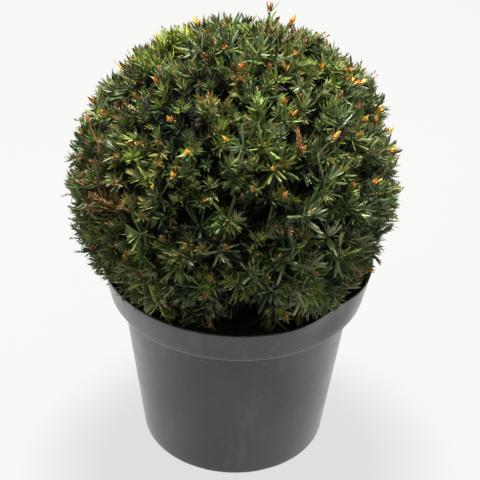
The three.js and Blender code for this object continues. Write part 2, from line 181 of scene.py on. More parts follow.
# How far each shoot's needles start turned from those of the shoot before, in radians
SHOOT_TURN = 7.3
SHOOT_SIZE = (0.75, 1.2)
# Needles deeper than this under the clipped surface take the dark shade spray: painted shade
SHADED_DEPTH = (12, 23)
TWIG_RINGS = 6
TWIG_RADII = {"main": (2.1, 0.9), "surface": (1.1, 0.6), "inner": (1.0, 0.6), "heart": (1.6, 0.8),
              "leader": (0.9, 0.7), "bare": (0.8, 0.5), "stub": (2.0, 0.9)}
OUTER_KINDS = ("main", "surface")
INSIDE_KINDS = ("inner", "heart")
BARE_KINDS = ("leader", "bare", "stub")
BUDLESS_KINDS = ("inner", "heart", "stub")
BARE_TWIG_ARCH = 1

# Bud scales are short broad blades in tight clusters at the tips
BUDS = {
    "bright": {"scales": 9, "length": (4.5, 8.5), "spread": (8, 44), "width": 0.4},
    "dull": {"scales": 9, "length": (3.5, 6), "spread": (12, 58), "width": 0.5},
    "small": {"scales": 4, "length": (3, 4.5), "spread": (10, 40), "width": 0.45},
}
STUB_SCALES = {"count": 26, "length": 7, "spread": (26, 8), "width": 0.5}
BUD_RIDGE = 0.3
BUD_LIFT = 0.7
BUD_RISE = 5.5
BUD_STRAY = 6
BUD_BEND = 0.12
# The share of a cluster's scales that have its inner colour, and of plain shoots that have no bud
INNER_SCALES = 0.45
BUDLESS_SHARE = 0.5

# Sprays of one colour: upper side and underside of the needles, linear base colours
SPRAYS = {
    "dark": ((0.073, 0.113, 0.025), (0.155, 0.185, 0.068)),
    "deep": ((0.034, 0.066, 0.020), (0.100, 0.130, 0.058)),
    "mid": ((0.155, 0.210, 0.044), (0.265, 0.290, 0.100)),
    "olive": ((0.230, 0.230, 0.055), (0.310, 0.295, 0.105)),
    "grey": ((0.162, 0.208, 0.088), (0.295, 0.330, 0.170)),
    "fresh": ((0.190, 0.270, 0.040), (0.290, 0.350, 0.085)),
    "yellow": ((0.260, 0.310, 0.026), (0.340, 0.380, 0.060)),
    "brown": ((0.180, 0.110, 0.036), (0.220, 0.145, 0.055)),
    # The shade spray is painted shade: a dark colour for needles deep inside the crown
    "shade": ((0.034, 0.044, 0.028), (0.044, 0.053, 0.034)),
}
SPRAY_GLOSS = {"shade": 0.1, "grey": 0.55}
COMMON_GLOSS = 0.33
SPRAY_SHARES = {"dark": 0.33, "deep": 0.12, "mid": 0.29, "olive": 0.07, "grey": 0.1, "fresh": 0.07,
                "brown": 0.01}
# Drifts of like colour over the crown
DRIFT = {"middle": 0.5, "height": 0.9, "waves": 2.6, "weight": 0.35}
# How far the dealing favours the later, lighter sprays in parts of the crown: painted light on
# # the top, painted shade on the flanks
PAINTED_LIGHT_AND_SHADE = {"top": 0.4, "flanks": -0.28}
# The older needles, further down the twig, have a darker colour: partly for their age, and partly
# # painted shade, as the twig's foot lies deeper in the foliage
OLDER_AND_SHADED = {"dark": "deep", "mid": "dark", "olive": "dark", "grey": "dark", "fresh": "mid",
         "yellow": "fresh"}
AGED_AND_SHADED_FROM = (0.2, 0.8)
WITHERED_SHARE = 0.008
# The share of star shoots, and how much larger it is low down and to the right
STARS = {"least": 0.16, "more": 0.26}
TIGHT_FROM = 0.82
# Chances of bright bud clusters, more on top and to the right, and of dull ones, more to the left
BUD_CHANCES = {"bright": 0.008, "top": 0.012, "right": 0.01, "dull": 0.03, "left": 0.07}
ORANGE_SHARE = 0.4
RUSSET_SHARE = 0.6
BUD_FORMS = {"orange": "bright", "amber": "bright", "russet": "dull", "tan": "dull"}
BUD_COLOURS = {
    "orange": (0.68, 0.32, 0.06),
    "amber": (0.86, 0.58, 0.11),
    "russet": (0.26, 0.105, 0.034),
    "tan": (0.42, 0.25, 0.090),
}
# Colours of the inner and the outer scales of a cluster
BUD_PAIRS = {"orange": ("orange", "russet"), "amber": ("amber", "orange"), "russet": ("russet", "tan"),
             "tan": ("tan", "russet")}

# Patches of the crown whose shoots have a colour of their own, and how many of them do
TINTS = [
    patch(154, 63, 8, spray="yellow", share=1, size=1.3),
    patch(157, 61, 13, spray="fresh", share=0.7, size=1.2),
    patch(23, 63, 4, spray="fresh", share=1, style="star"),
    patch(-136, 36, 7, spray="fresh", share=0.5),
    patch(-150, 14, 9, spray="brown", share=0.2),
    patch(-139, 19, 16, spray="olive", share=0.4),
    patch(-60, -15, 40, spray="grey", share=0.3, style="star"),
]
# Patches where the clipped surface stands out or lies back a little: height in millimetres
SWELLS = [
    patch(22, 48, 40, height=7),
    patch(160, 54, 30, height=-8),
    patch(-174, -24, 32, height=9),
    patch(152, 64, 9, height=11),
]
# The side clusters are repeated on the back where that is far enough from the photo's view
BUDS_ON_BACK = {"elevation": 60, "behind": 0.35}
# Bud clusters that show in the photo, by colour: azimuth and elevation
BUD_PLACES = {
    "amber": [(161, 37), (-165, 36), (-179, 28), (-121, 49), (-113, 39), (-114, 29), (-76, 34),
        (-77, -7), (-74, 2), (-20, 62), (-8, 48), (0, 44), (-58, 56), (-2, 33), (-39, 37),
        (-32, 33)],
    "orange": [(-151, 56), (-114, 81), (-90, 75), (-133, 37), (-63, 37), (-71, 27), (-65, -27),
        (-50, 72), (-12, 57), (2, 52), (-57, 53), (-8, 29), (-24, 34)],
    "russet": [(-149, 75), (-113, 56), (-151, 46), (-139, 26), (-84, 20), (-94, 8), (-100, 0),
        (-178, 16), (-159, 14), (-165, 8), (-142, 14), (-136, 20)],
    "tan": [(-92, 67), (-139, 35), (-121, 31), (-71, 17), (-113, 5), (-97, -12), (20, 64),
        (-150, 22), (-152, 9), (-170, 22), (-22, 48)],
}
# Patches where the outer shoots are short, so that the dark inside shows, and where they take the
# # dark deep spray as painted shade: depth in millimetres
HOLLOWS = [
    patch(-132, 49, 5.5, depth=13),
    patch(-34, 50, 5.5, depth=13),
    patch(-93, 41, 3, depth=10),
    patch(-84, 19, 4, depth=12),
    patch(-84, -26, 10, depth=24),
]

# The studio's light grows from the horizon to the zenith
SKY = {"horizon": 0.29, "zenith": 0.4, "colour": (1, 0.995, 0.98)}
# Square area lights that face the crown, with their power in watts
SOFTBOXES = [
    {"name": "overhead", "at": (-80, 520, 2250), "size": 600, "power": 144},
    {"name": "left", "at": (-2100, 100, 450), "size": 880, "power": 10},
    {"name": "right", "at": (1900, -600, 450), "size": 880, "power": 11},
]
STAGE_REACH = 6000

# Camera, fitted to the photograph's rim, band and foot
CAMERA = {"at": (1.86, -1327.3, 1145.6), "aim": (1.86, 0, 218.34), "lens": 127.32, "roll": 0.0297}


def random_from(seed):
    """Seeded random numbers from 0 to 1, the same run as the solids use."""
    whole = 0xFFFFFFFF
    state = seed

    def draw():
        nonlocal state
        state = (state + 0x6D2B79F5) & whole
        t = state
        t = ((t ^ (t >> 15)) * (t | 1)) & whole
        t ^= (t + (((t ^ (t >> 7)) * (t | 61)) & whole)) & whole
        return ((t ^ (t >> 14)) & whole) / 4294967296

    return draw


def lerp(start, end, share):
    return start + (end - start) * share


def smoothstep(x, low, high):
    share = np.clip((x - low) / (high - low), 0, 1)
    return share * share * (3 - 2 * share)


def unit(vectors):
    return vectors / np.linalg.norm(vectors, axis=-1, keepdims=True)


def perpendicular(ahead):
    """A unit vector across each direction."""
    steep = np.abs(ahead[..., 2:]) > 0.9
    return unit(np.cross(ahead, np.where(steep, FRONT, UP)))


# Meshes


def put_in_scene(thing):
    bpy.context.scene.collection.objects.link(thing)
    return thing


def make_mesh(name, vertices, faces, materials, face_materials=None, smooth=True):
    """An object from vertices in millimetres and faces that all have the same number of corners."""
    mesh = bpy.data.meshes.new(name)
    faces = np.asarray(faces, np.int32)
    mesh.vertices.add(len(vertices))
    mesh.vertices.foreach_set("co", (np.asarray(vertices) * MM).astype(np.float32).ravel())
    mesh.loops.add(faces.size)
    mesh.loops.foreach_set("vertex_index", faces.ravel())
    mesh.polygons.add(len(faces))
    mesh.polygons.foreach_set("loop_start", np.arange(0, faces.size, faces.shape[1], dtype=np.int32))
    for material in materials:
        mesh.materials.append(material)
    if face_materials is not None:
        mesh.polygons.foreach_set("material_index", np.asarray(face_materials, np.int32))
    mesh.polygons.foreach_set("use_smooth", np.full(len(faces), smooth))
    mesh.update(calc_edges=True)
    return put_in_scene(bpy.data.objects.new(name, mesh))


def rounded(corners, steps=5):
    """A profile of (radius, z) points from corners of (radius, z, rounding)."""
    points = [np.array(corner[:2], float) for corner in corners]
    profile = []
    for i, (_, _, rounding) in enumerate(corners):
        if not rounding:
            profile.append(points[i])
            continue
        start = points[i] + rounding * unit(points[i - 1] - points[i])
        end = points[i] + rounding * unit(points[i + 1] - points[i])
        for step in range(steps + 1):
            share = step / steps
            near = lerp(start, points[i], share)
            profile.append(lerp(near, lerp(points[i], end, share), share))
    return profile


def subdivided(profile, longest):
    """The profile with points added where two are further apart than the longest step."""
    finer = [profile[0]]
    for start, end in zip(profile, profile[1:]):
        pieces = max(1, math.ceil(np.linalg.norm(end - start) / longest))
        finer += [lerp(start, end, (i + 1) / pieces) for i in range(pieces)]
    return finer


def repeated(faces, corners, copies):
    """The faces of one form, repeated for each of its copies in a joined mesh."""
    faces = np.array(faces)
    return (faces + corners * np.arange(copies)[:, None, None]).reshape(-1, faces.shape[1])


def ring_quads(rings, sides):
    """Quads between neighbouring rings of vertices."""
    here = np.arange(sides)
    there = (here + 1) % sides
    quads = [
        np.stack([low + here, low + there, low + sides + there, low + sides + here], axis=1)
        for low in range(0, (rings - 1) * sides, sides)
    ]
    return np.concatenate(quads)


def turned(profile, sides):
    """Vertices and quads of a profile turned about Z. Its first and last points lie on the axis."""
    turns = np.arange(sides) * TURN / sides
    rings = [
        np.stack([r * np.cos(turns), r * np.sin(turns), np.full(sides, z)], axis=1)
        for r, z in profile[1:-1]
    ]
    poles = [[0, 0, profile[0][1]], [0, 0, profile[-1][1]]]
    vertices = np.concatenate(rings + [poles])
    even = np.arange(0, sides, 2)
    last = (len(rings) - 1) * sides
    pole = np.full(len(even), len(vertices) - 2)
    start_cap = np.stack([pole, (even + 2) % sides, even + 1, even], axis=1)
    end_cap = np.stack([pole + 1, last + even, last + even + 1, last + (even + 2) % sides], axis=1)
    return vertices, np.concatenate([ring_quads(len(rings), sides), start_cap, end_cap])


def dent_at(vertices):
    """How far the rim is pressed in at each point."""
    height = smoothstep(vertices[:, 2], BAND_FOOT_Z, POT_HEIGHT)
    away = np.degrees(np.arctan2(vertices[:, 1], vertices[:, 0])) - DENT["angle"]
    return DENT["depth"] * height * np.exp(-((away / DENT["spread"]) ** 2))


def dented(vertices):
    radius = np.linalg.norm(vertices[:, :2], axis=1)
    share = 1 - dent_at(vertices) / np.maximum(radius, WALL)
    return vertices * np.stack([share, share, np.ones_like(share)], axis=1)


def sweep(path, radii, form, seed):
    """Vertices and quads of a limb: rings about a path, with a lengthwise relief for the bark."""
    sides, relief, flutes = form["sides"], form["relief"], form["flutes"]
    ahead = unit(np.gradient(path, axis=0))
    side = perpendicular(ahead)
    across = np.cross(ahead, side)
    vertices = []
    for i, point in enumerate(path):
        along = point[2] / BARK_RIDGE_LENGTH + seed
        for turn in np.arange(sides) * TURN / sides:
            place = Vector((math.cos(turn) * flutes, math.sin(turn) * flutes, along))
            ridge = noise.fractal(place, 0.8, 2.1, 3) * relief
            flake = abs(noise.noise(place * 3.1)) * relief
            out = math.cos(turn) * side[i] + math.sin(turn) * across[i]
            vertices.append(point + out * (radii[i] - relief + ridge + flake))
    last = (len(path) - 1) * sides
    caps = [[0, k + 2, k + 1, k] for k in range(1, sides - 2, 2)]
    caps += [[last, last + k, last + k + 1, last + k + 2] for k in range(1, sides - 2, 2)]
    return np.array(vertices), np.concatenate([ring_quads(len(path), sides), np.array(caps)])


# Materials


def shader_of(material):
    return material.node_tree.nodes["Principled BSDF"]


def to_shader(material, output, socket):
    material.node_tree.links.new(output, shader_of(material).inputs[socket])


def new_material(name, colour, roughness, **sockets):
    """A Principled material, with further values set on the shader's own sockets by name."""
    material = bpy.data.materials.new(name)
    material.use_nodes = True
    inputs = shader_of(material).inputs
    inputs["Base Color"].default_value = (*colour, 1)
    inputs["Roughness"].default_value = roughness
    for socket, value in sockets.items():
        inputs[socket.replace("_", " ")].default_value = value
    return material


def add_node(owner, kind, **values):
    """A node. Values and other nodes' outputs go to the inputs they name, or else to attributes."""
    made = owner.node_tree.nodes.new(f"ShaderNode{kind}")
    for key, value in values.items():
        socket = key.replace("_", " ")
        if isinstance(value, bpy.types.NodeSocket):
            owner.node_tree.links.new(value, made.inputs[socket])
        elif socket in made.inputs:
            made.inputs[socket].default_value = value
        else:
            setattr(made, key, value)
    return made


def add_noise(material, scale, detail=4.0, stretch=(1, 1, 1)):
    """The value of a noise in object coordinates, with its scale in turns per metre."""
    place = add_node(material, "TexCoord").outputs["Object"]
    mapped = add_node(material, "Mapping", Vector=place, Scale=stretch).outputs["Vector"]
    return add_node(material, "TexNoise", Vector=mapped, Scale=scale, Detail=detail).outputs["Fac"]


def off_height(material, height):
    """How far in metres the surface is above or below a height in millimetres."""
    place = add_node(material, "TexCoord").outputs["Object"]
    z = add_node(material, "SeparateXYZ", Vector=place).outputs["Z"]
    rise = add_node(material, "Math", operation="SUBTRACT", Value=z)
    rise.inputs[1].default_value = height * MM
    size = add_node(material, "Math", operation="ABSOLUTE", Value=rise.outputs["Value"])
    return size.outputs["Value"]


def vary_colour(material, value, low, high, dark, light):
    """The base colour goes from dark to light as the value goes from low to high."""
    ramp = add_node(material, "ValToRGB", Fac=value)
    for stop, position, colour in zip(ramp.color_ramp.elements, (low, high), (dark, light)):
        stop.position = position
        stop.color = (*colour, 1)
    to_shader(material, ramp.outputs["Color"], "Base Color")


def add_flecks(material, value, low, high, colour):
    """A colour over the varied base colour, stronger as the value goes from low to high."""
    base = shader_of(material).inputs["Base Color"].links[0].from_socket
    mask = add_node(material, "MapRange", Value=value, From_Min=low, From_Max=high)
    mix = add_node(material, "MixRGB", Fac=mask.outputs["Result"], Color1=base, Color2=(*colour, 1))
    to_shader(material, mix.outputs["Color"], "Base Color")


def vary_roughness(material, value, smoothest, roughest):
    spread = add_node(material, "MapRange", Value=value, To_Min=smoothest, To_Max=roughest)
    to_shader(material, spread.outputs["Result"], "Roughness")


def add_bump(material, value, height, strength=1.0):
    """Relief from a value, with its height in millimetres."""
    bump = add_node(material, "Bump", Height=value, Strength=strength, Distance=height * MM)
    to_shader(material, bump.outputs["Normal"], "Normal")


# Dark moulded plastic with clouds of tone, scuffs, dust, dirt and a painted highlight along the band's
# foot
def pot_material():
    material = new_material("moulded_plastic", (0.028, 0.028, 0.029), 0.3, Specular_IOR_Level=0.66,
                            Sheen_Weight=0.4, Sheen_Roughness=0.4)
    clouds = add_noise(material, 16, detail=8)
    vary_colour(material, clouds, 0.35, 0.7, (0.007, 0.007, 0.008), (0.031, 0.031, 0.032))
    scuffs = add_noise(material, 38, detail=10, stretch=(1, 1, 0.3))
    dust = add_noise(material, 420, detail=3)
    dirt = add_noise(material, 330, detail=2)
    painted_highlight_line = off_height(material, BAND_FOOT_Z + PAINTED_EDGE_HIGHLIGHT["rise"])
    add_flecks(material, scuffs, 0.58, 0.8, (0.060, 0.060, 0.060))
    add_flecks(material, dust, 0.66, 0.72, (0.085, 0.085, 0.083))
    add_flecks(material, dirt, 0.70, 0.74, (0.002, 0.002, 0.002))
    # Painted highlight: a lighter line along the band's foot, where the edge catches the light
    add_flecks(material, painted_highlight_line, PAINTED_EDGE_HIGHLIGHT["breadth"] * MM, 0, (0.095, 0.095, 0.093))
    vary_roughness(material, add_noise(material, 60, detail=6), 0.14, 0.4)
    add_bump(material, add_noise(material, 900, detail=2), 0.03, strength=0.5)
    return material


def medium_material():
    material = new_material("peat", (0.01, 0.008, 0.006), 0.9)
    vary_colour(material, add_noise(material, 260, detail=8), 0.35, 0.7, (0.004, 0.0035, 0.003),
                (0.022, 0.016, 0.011))
    add_bump(material, add_noise(material, 700, detail=6), 0.8)
    return material


def crumb_materials():
    made = []
    for name, colour in CRUMB_SHADES.items():
        material = new_material(name, colour, 0.85)
        lighter = tuple(1.7 * part for part in colour)
        vary_colour(material, add_noise(material, 400), 0.35, 0.7, colour, lighter)
        made.append(material)
    return made


def bark_material(name, dark, light):
    material = new_material(name, dark, 0.8)
    strips = add_noise(material, 140, detail=7, stretch=(1, 1, 0.25))
    vary_colour(material, strips, 0.35, 0.68, dark, light)
    add_bump(material, strips, 0.6)
    return material


def needle_materials():
    """Two materials to each spray colour, in the order of SPRAYS: upper side, then underside."""
    made = []
    for name, (upper, under) in SPRAYS.items():
        gloss = SPRAY_GLOSS.get(name, COMMON_GLOSS)
        made.append(new_material(f"needle_{name}_upper", upper, 0.42, Specular_IOR_Level=gloss))
        made.append(new_material(f"needle_{name}_under", under, 0.5, Specular_IOR_Level=0.6 * gloss))
    return made


def bud_materials():
    return [
        new_material(f"bud_{name}", colour, 0.5, Specular_IOR_Level=0.2)
        for name, colour in BUD_COLOURS.items()
    ]


# Pot and growing medium


def body_radius(z):
    return lerp(BODY_FOOT_RADIUS, BODY_TOP_RADIUS, z / BAND_FOOT_Z)


def band_radius(z):
    return lerp(BAND_FOOT_RADIUS, RIM_RADIUS, (z - BAND_FOOT_Z) / (POT_HEIGHT - BAND_FOOT_Z))


def pot_profile():
    inner_shoulder = BAND_FOOT_Z + WALL
    r = POT_ROUNDINGS
    return rounded(
        [
            (0, 0, 0),
            (BODY_FOOT_RADIUS, 0, r["foot"]),
            (BODY_TOP_RADIUS, BAND_FOOT_Z, r["shoulder"]),
            (BAND_FOOT_RADIUS, BAND_FOOT_Z, r["band_foot"]),
            (RIM_RADIUS, POT_HEIGHT, r["lip"]),
            (RIM_RADIUS - WALL, POT_HEIGHT, r["lip"]),
            (band_radius(inner_shoulder) - WALL, inner_shoulder, r["inside"]),
            (BODY_TOP_RADIUS - WALL, inner_shoulder, r["inside"]),
            (body_radius(FLOOR) - WALL, FLOOR, r["inside"]),
            (0, FLOOR, 0),
        ]
    )


def drain_cutter():
    """One mesh with all holes of the floor and all notches under the foot."""
    form = bmesh.new()
    for i in range(DRAINS["count"]):
        spin = Matrix.Rotation((i + 0.5) * TURN / DRAINS["count"], 4, "Z")
        hole = spin @ Matrix.Translation((DRAINS["ring_radius"] * MM, 0, 0))
        radius = DRAINS["radius"] * MM
        bmesh.ops.create_cone(form, cap_ends=True, segments=32, radius1=radius, radius2=radius,
                              depth=4 * FLOOR * MM, matrix=hole)
        size = (2 * NOTCH["depth"] * MM, NOTCH["width"] * MM, 2 * NOTCH["height"] * MM, 1)
        notch = spin @ Matrix.Translation((BODY_FOOT_RADIUS * MM, 0, 0)) @ Matrix.Diagonal(size)
        bmesh.ops.create_cube(form, size=1, matrix=notch)
    mesh = bpy.data.meshes.new("drain_cutter")
    form.to_mesh(mesh)
    form.free()
    return put_in_scene(bpy.data.objects.new("drain_cutter", mesh))


def make_pot():
    vertices, faces = turned(subdivided(pot_profile(), POT_STEP), POT_SIDES)
    pot = make_mesh("nursery_pot", dented(vertices), faces, [pot_material()])
    cutter = drain_cutter()
    cut = pot.modifiers.new("drains", "BOOLEAN")
    cut.operation = "DIFFERENCE"
    cut.solver = "EXACT"
    cut.object = cutter
    shown = pot.evaluated_get(bpy.context.evaluated_depsgraph_get())
    pierced = bpy.data.meshes.new_from_object(shown)
    pot.modifiers.clear()
    pot.data = pierced
    bpy.data.objects.remove(cutter)
    pierced.set_sharp_from_angle(angle=math.radians(SMOOTH_UP_TO_DEGREES))
    return pot


def hummocks_at(x, y):
    rise = smoothstep(np.hypot(x, y), TRUNK_SEAT_RADIUS, 2 * TRUNK_SEAT_RADIUS)
    large = np.sin(x / HUMMOCKS["width"] + 1) * np.cos(y / HUMMOCKS["width"])
    small = HUMMOCKS["small_share"] * np.sin((x + y) / HUMMOCKS["small_width"])
    return rise * HUMMOCKS["height"] * (large + small - HUMMOCKS["sink"])


def lumps_at(x, y):
    """Uneven crumbs on the growing medium, level where the trunk stands."""
    rise = smoothstep(np.hypot(x, y), TRUNK_SEAT_RADIUS - 2, TRUNK_SEAT_RADIUS + 8)
    places = np.stack([x, y, np.zeros_like(x)], axis=1) / LUMPS["width"]
    lumps = [noise.fractal(Vector(place), 0.6, 2.2, 4) for place in places]
    return rise * LUMPS["height"] * (np.array(lumps) - LUMPS["sink"])


def medium_edge():
    return band_radius(MEDIUM_LEVEL) - WALL - 0.4


def make_medium():
    shoulder = BAND_FOOT_Z + WALL + GAP
    edge = medium_edge()
    profile = [
        (0, FLOOR + GAP),
        (body_radius(FLOOR) - WALL - 2, FLOOR + GAP),
        (BODY_TOP_RADIUS - WALL - 1, shoulder),
        (band_radius(shoulder) - WALL - 1.5, shoulder),
        (edge, MEDIUM_LEVEL - 2),
    ]
    profile += [(edge * (1 - i / MEDIUM_RINGS), MEDIUM_LEVEL) for i in range(MEDIUM_RINGS)]
    profile.append((0, MEDIUM_LEVEL))
    vertices, faces = turned(profile, MEDIUM_SIDES)
    vertices = dented(vertices)
    top = vertices[:, 2] > MEDIUM_LEVEL - 1
    x, y = vertices[top, 0], vertices[top, 1]
    vertices[top, 2] += hummocks_at(x, y) + lumps_at(x, y)
    return make_mesh("peat_mix", vertices, faces, [medium_material()])


def make_crumbs():
    """Loose crumbs and bark chips, each an uneven octahedron half sunk in the growing medium."""
    random = np.random.default_rng(SEEDS["crumbs"])
    count = CRUMBS["count"]
    outermost = medium_edge() - 3 - DENT["depth"] / 2
    reach = lerp(TRUNK_SEAT_RADIUS + 2, outermost, np.sqrt(random.random(count)))
    turn = TURN * random.random(count)
    x, y = reach * np.cos(turn), reach * np.sin(turn)
    centres = np.stack([x, y, MEDIUM_LEVEL + hummocks_at(x, y)], axis=1)
    size = lerp(*CRUMBS["size"], random.random((count, 1, 1)) ** 3)
    corners = np.array([[1, 0, 0], [0, 1, 0], [-1, 0, 0], [0, -1, 0], [0, 0, 1], [0, 0, -1]], float)
    corners = corners * lerp(*CRUMBS["unevenness"], random.random((count, 6, 1))) * size
    corners[:, :, 2] *= CRUMBS["height"]
    spin = TURN * random.random((count, 1))
    px, py = corners[:, :, 0].copy(), CRUMBS["breadth"] * corners[:, :, 1]
    corners[:, :, 0] = px * np.cos(spin) - py * np.sin(spin)
    corners[:, :, 1] = px * np.sin(spin) + py * np.cos(spin)
    vertices = (corners + centres[:, None, :]).reshape(-1, 3)
    upper = [[k, (k + 1) % 4, 4] for k in range(4)]
    lower = [[(k + 1) % 4, k, 5] for k in range(4)]
    faces = repeated(upper + lower, 6, count)
    shades = np.repeat(random.choice(3, size=count, p=CRUMB_SHARES), 8)
    return make_mesh("peat_crumbs", vertices, faces, crumb_materials(), shades, smooth=False)


# Lobes, trunk and boughs


class Lobe:
    """One mass of foliage: its direction from the crown centre, its seat, its heart and its shoots."""

    def __init__(self, name, ahead, ring=None, step=0):
        self.name = name
        self.place = name.removeprefix("foliage_")
        self.ahead = ahead
        self.ring = ring
        self.step = step
        self.reach = 1.0
        self.seat = ahead * INNER_SPACE
        self.heart = ahead * (INNER_SPACE + HEART_DEPTH)
        self.shoots = []


def make_lobes():
    random = random_from(SEEDS["lobes"])
    lobes = [Lobe("foliage_top", UP)]
    for ring in LOBE_RINGS:
        for i in range(ring["count"]):
            azimuth = ring["azimuth"] + i * 360 / ring["count"]
            azimuth += LOBE_SCATTER["azimuth"] * (random() - 0.5)
            elevation = ring["elevation"] + LOBE_SCATTER["elevation"] * (random() - 0.5)
            name = f"foliage_{ring['name']}_{i + 1}"
            lobes.append(Lobe(name, direction(azimuth, elevation), ring, i))
    for lobe in lobes:
        lobe.reach = lerp(*LOBE_REACH, random())
    return lobes


def to_ellipsoid(ahead, share):
    """Distance from the crown centre to its ellipsoid, scaled by share, along a unit direction."""
    return share / np.linalg.norm(ahead / CROWN_RADII, axis=-1)


def on_surface(azimuth, elevation):
    """A direction in degrees, as a unit vector, and the place where it meets the plain ball."""
    out = direction(azimuth, elevation)
    return out, out * to_ellipsoid(out, 1)


def smooth_path(points, rings):
    """Points evenly along a smooth curve through the given ones."""
    points = np.asarray(points)
    padded = np.concatenate([2 * points[:1] - points[1:2], points, 2 * points[-1:] - points[-2:-1]])
    places = np.linspace(0, len(points) - 1, rings)
    index = np.minimum(places.astype(int), len(points) - 2)
    t = (places - index)[:, None]
    a, b, c, d = (padded[index + k] for k in range(4))
    square, cube = 2 * a - 5 * b + 4 * c - d, 3 * b - a - 3 * c + d
    return 0.5 * (2 * b + (c - a) * t + square * t**2 + cube * t**3)


def trunk_path():
    foot = np.array([TRUNK_FOOT["x"], TRUNK_FOOT["y"], MEDIUM_LEVEL + GAP - CROWN_CENTRE[2]])
    tip = np.array([0, 0, INNER_SPACE - GAP])
    path = [foot, foot + UP * TRUNK["flare_height"] / 3]
    for i in range(TRUNK["steps"] + 1):
        up = i / TRUNK["steps"]
        point = lerp(foot, tip, up)
        point[2] = lerp(foot[2] + TRUNK["flare_height"], tip[2], up)
        point[0] += TRUNK_BEND["width"] * math.sin(TURN * TRUNK_BEND["waves"] * up) * (1 - up)
        path.append(point)
    return np.array(path)


def make_limb(name, points, radii, form, seed, bark):
    """A limb along a smooth curve through some points."""
    vertices, faces = sweep(smooth_path(points, form["rings"]), radii, form, seed)
    return make_mesh(name, vertices + CROWN_CENTRE, faces, [bark])


def make_trunk(bark):
    path = trunk_path()
    steps = TRUNK["steps"]
    radii = [TRUNK["foot_radius"], 0.5 * (TRUNK["foot_radius"] + TRUNK["radius"])]
    radii += [lerp(TRUNK["radius"], TRUNK["tip_radius"], i / steps) for i in range(steps + 1)]
    stations = np.linspace(0, len(path) - 1, TRUNK_MESH["rings"])
    fine_radii = np.interp(stations, np.arange(len(path)), radii)
    return make_limb("trunk_bark", path, fine_radii, TRUNK_MESH, 0, bark)


def trunk_at(z):
    path = trunk_path()
    return np.array([np.interp(z, path[:, 2], path[:, k]) for k in range(2)] + [z])


def make_bough(lobe, bark):
    stagger = (lobe.step * 3) % lobe.ring["count"]
    root = trunk_at(lobe.ring["limb_z"] + lobe.ring["limb_rise"] * stagger)
    tip = lobe.seat - lobe.ahead * GAP
    run = tip - lobe.ahead * BOUGH["straight"]
    middle = lerp(root, run, 0.5) - UP * BOUGH["sag"]
    radii = np.linspace(BOUGH["foot_radius"], BOUGH["tip_radius"], BOUGH_MESH["rings"])
    seed = lobe.step * 7 + len(lobe.ring["name"])
    path = [root, middle, run, tip]
    return make_limb(f"bough_bark_{lobe.place}", path, radii, BOUGH_MESH, seed, bark)


# Shoots


class Shoot:
    """A twig that grows from a root past a bend to its tip, and what its spray looks like."""

    def __init__(self, kind, root, bend, tip, ahead, out):
        self.kind = kind
        self.root = root
        self.bend = bend
        self.tip = tip
        self.ahead = ahead
        self.out = out
        self.style = kind if kind in INSIDE_KINDS else "bare" if kind in BARE_KINDS else "brush"
        self.size = 1.0
        self.spray = "dark"
        self.bud = None


def nearest_lobe(lobes, out):
    return max(lobes, key=lambda lobe: lobe.ahead.dot(out))


def swell_at(out):
    """How far the clipped surface stands out in a direction."""
    return sum(
        swell["height"] * float(smoothstep(out.dot(swell["middle"]), swell["edge"], 1))
        for swell in SWELLS
    )


def spread_tips(lobes, kind):
    """Tips spread evenly over the ball by the rule of the solids: lobe, tip and outward direction."""
    plan = SHOOTS[kind]
    random = random_from(plan["seed"])
    places = []
    for i in range(plan["count"]):
        z = lerp(1, LOWEST_SHOOT, (i + 0.5) / plan["count"])
        turn = i * GOLDEN_ANGLE + plan["jitter"] * (random() - 0.5)
        flat = math.sqrt(1 - z * z)
        out = np.array([flat * math.cos(turn), flat * math.sin(turn), z])
        lobe = nearest_lobe(lobes, out)
        out = unit(out + lobe.ahead * plan["gather"])
        depth = lerp(*plan["depth"], random())
        if kind != "main":
            depth += CLUMPS["depth"] * noise.noise(Vector(out * CLUMPS["waves"])) - swell_at(out)
        places.append((lobe, out * (to_ellipsoid(out, lobe.reach) - depth), out))
        # The solids draw each shoot's roll here
        random()
    return places


def growing_direction(root, tip, out, kind):
    growth = unit(tip - root)
    lift = SHOOTS[kind]["lean"] * (1 - abs(out[2]))
    return unit(lerp(growth, out, 0.5) + UP * lift)


def grow_main_shoots(lobes):
    for lobe, tip, out in spread_tips(lobes, "main"):
        ahead = growing_direction(lobe.heart, tip, out, "main")
        bend = lerp(lobe.heart, tip, MAIN_BEND)
        lobe.shoots.append(Shoot("main", lobe.heart, bend, tip, ahead, out))


def grow_finer_shoots(lobes, kind):
    """Finer shoots, each forking off the main shoot whose tip is nearest to its own."""
    random = np.random.default_rng(SHOOTS[kind]["seed"])
    for lobe, tip, out in spread_tips(lobes, kind):
        parents = [shoot for shoot in lobe.shoots if shoot.kind == "main"]
        parent = min(parents, key=lambda shoot: np.linalg.norm(shoot.tip - tip))
        root = lerp(parent.root, parent.tip, lerp(*FORK_SHARE, random.random()))
        ahead = growing_direction(root, tip, out, kind)
        ahead = unit(ahead + SHOOT_TILT * random.standard_normal(3))
        ahead = unit(ahead + out * max(0, LEAST_OUTWARD - ahead.dot(out)))
        bend = tip - ahead * FORK_STRAIGHTNESS * np.linalg.norm(tip - root)
        lobe.shoots.append(Shoot(kind, root, bend, tip, ahead, out))


def grow_leader(lobe):
    """The one bare shoot that stands up out of the clipped top."""
    out = direction(LEADER["azimuth"], LEADER["elevation"])
    surface = out * to_ellipsoid(out, lobe.reach)
    tip = surface + UP * LEADER["rise"]
    bend = surface + np.array(LEADER["lean"])
    lobe.shoots.append(Shoot("leader", surface - out * HEART_DEPTH, bend, tip, unit(tip - bend), out))


